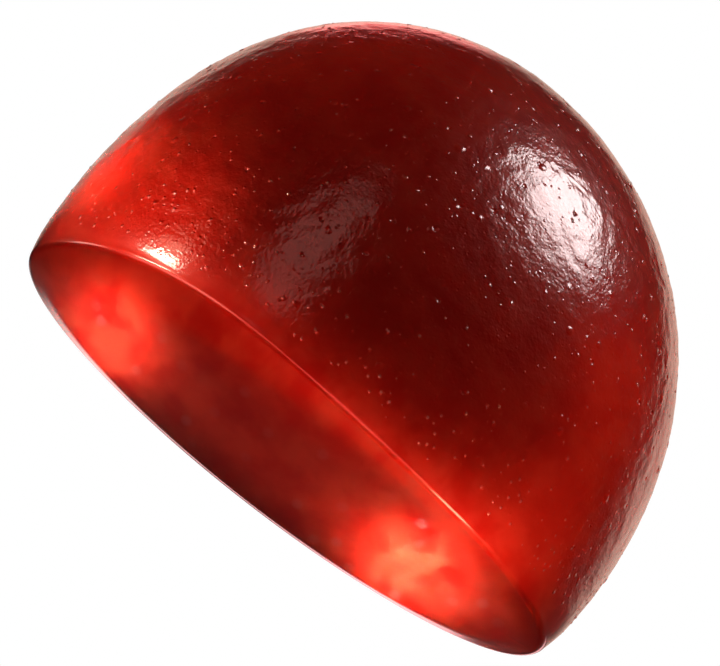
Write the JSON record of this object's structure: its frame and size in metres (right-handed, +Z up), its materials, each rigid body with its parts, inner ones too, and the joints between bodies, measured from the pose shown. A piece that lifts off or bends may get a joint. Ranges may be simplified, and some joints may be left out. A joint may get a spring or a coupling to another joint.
{
  "type": "gummy candy",
  "caption": "Dome-shaped gummy candy of clear red jelly with a flat base, a rounded rim and a slightly crooked round crown.",
  "frame": {"origin": "on the flat base, under the middle of the candy's outline", "axes": "+Z up through the crown, +X to the right and +Y away from the viewer in the picture before the candy's tilt"},
  "size_m": [0.0201, 0.0202, 0.0141],
  "materials": {
    "jelly": null
  },
  "bodies": {
    "root": {"gummy": "jelly"}
  },
  "joints": []
}
